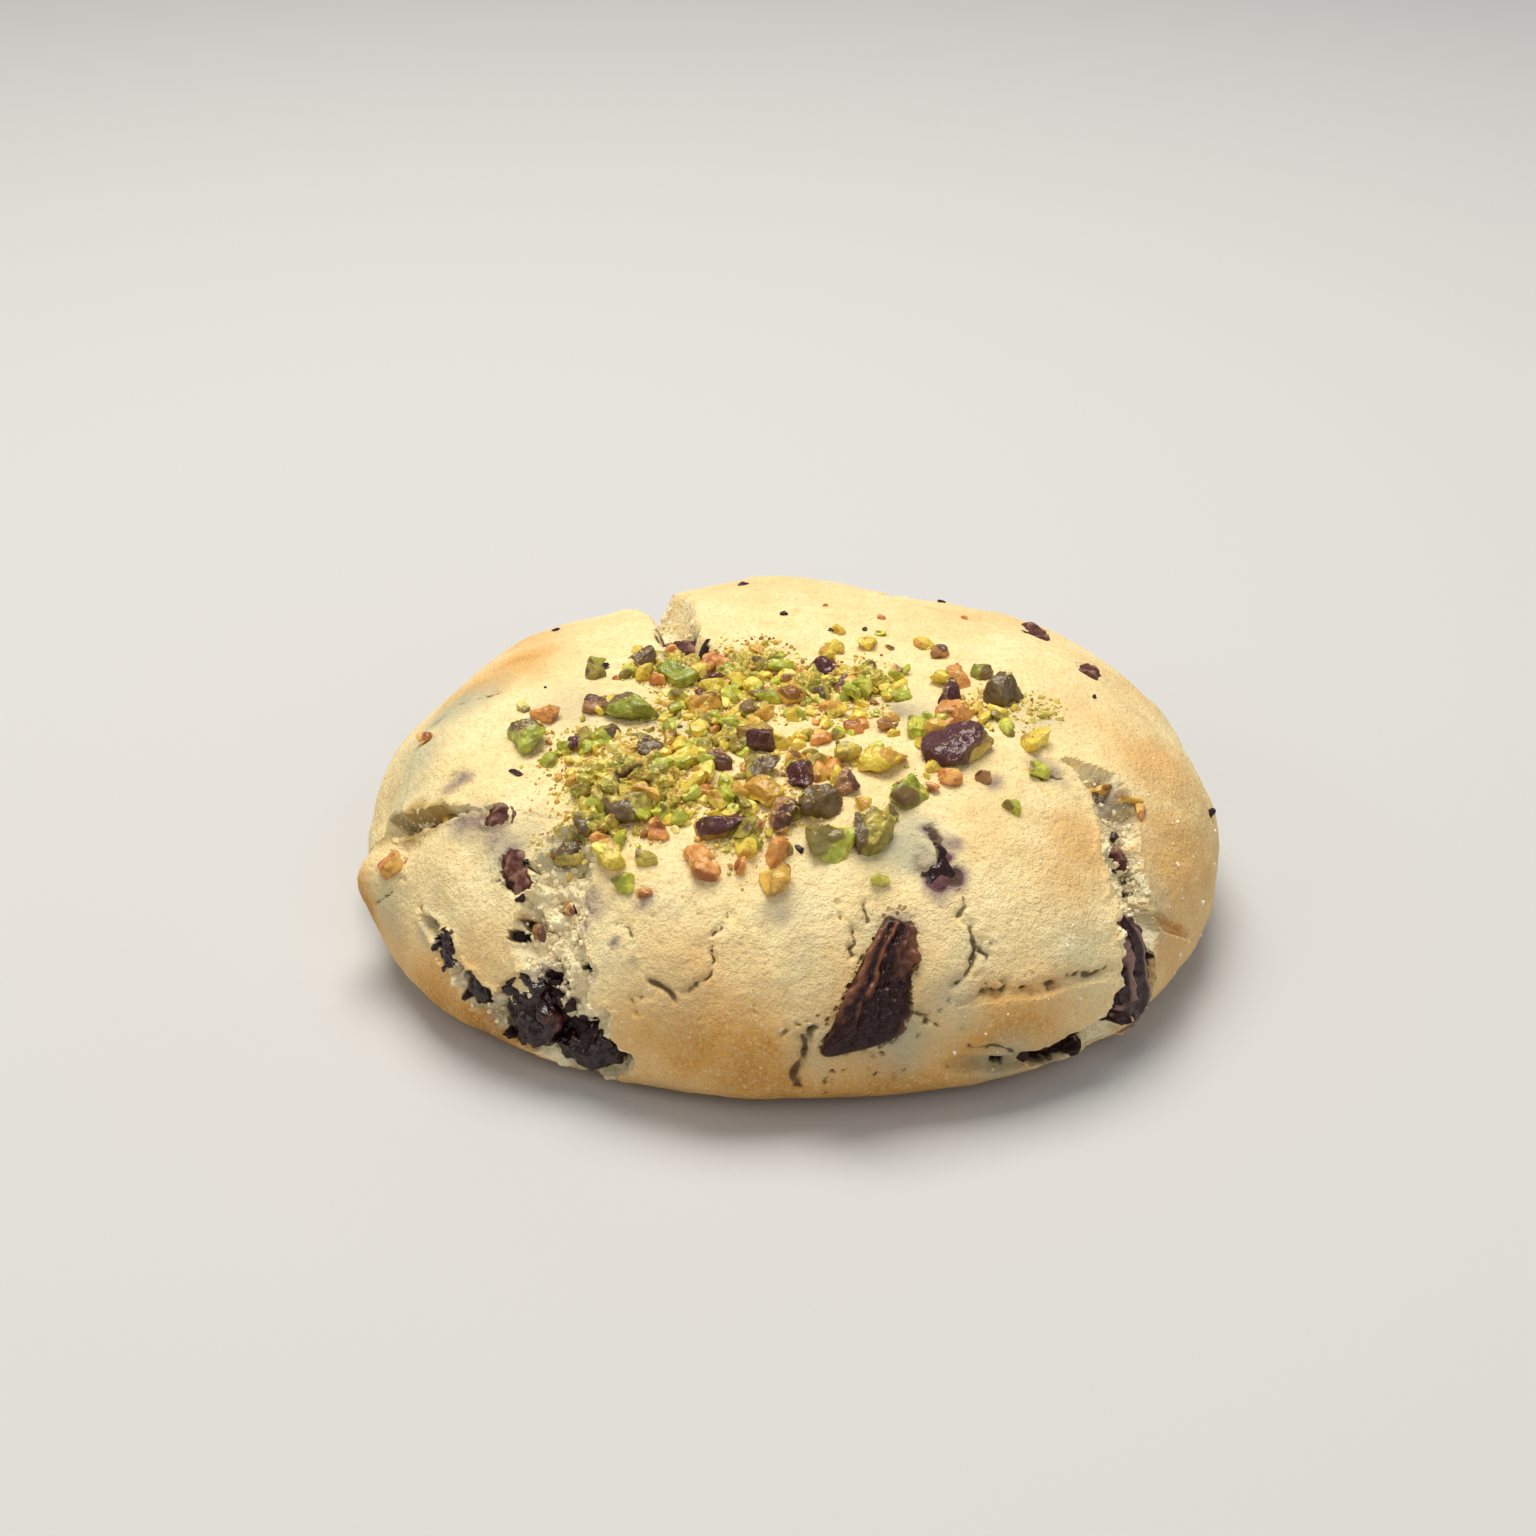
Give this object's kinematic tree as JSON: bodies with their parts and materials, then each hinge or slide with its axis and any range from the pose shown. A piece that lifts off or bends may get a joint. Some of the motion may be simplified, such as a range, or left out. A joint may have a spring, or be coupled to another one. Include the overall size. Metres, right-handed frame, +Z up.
{
  "type": "pistachio cookie",
  "caption": "Thick soft-baked cookie with split, golden lobes, chopped pistachios pressed into the top and dark chocolate chunks that break through the crust.",
  "frame": {"origin": "The middle of the cookie's outline, on the surface that it rests on.", "axes": "+Z up. The front of the cookie, with the largest chocolate chunk, faces -Y. +X is to the right seen from the front."},
  "size_m": [0.0993, 0.0968, 0.0309],
  "materials": {
    "baked_dough": "matte baked crust with a dry, sandy surface",
    "dark_chocolate": "semi-gloss dark chocolate, set after baking",
    "pistachio": "cut nut flesh, satin, with glossy dark skins"
  },
  "bodies": {
    "root": {"cookie": "baked_dough", "chocolate_front": "dark_chocolate", "chocolate_right": "dark_chocolate", "chocolate_low_left": "dark_chocolate", "chocolate_low_front": "dark_chocolate", "chocolate_left_rim": "dark_chocolate", "chocolate_left_corner": "dark_chocolate", "chocolate_left_crown": "dark_chocolate", "chocolate_left_split": "dark_chocolate", "chocolate_front_crown": "dark_chocolate", "chocolate_right_crown": "dark_chocolate", "chocolate_right_split": "dark_chocolate", "chocolate_notch": "dark_chocolate", "chocolate_rear_rim": "dark_chocolate", "chocolate_rear_right": "dark_chocolate", "chocolate_rear_notch": "dark_chocolate", "chocolate_rear": "dark_chocolate", "chocolate_rear_left": "dark_chocolate"}
  },
  "joints": []
}
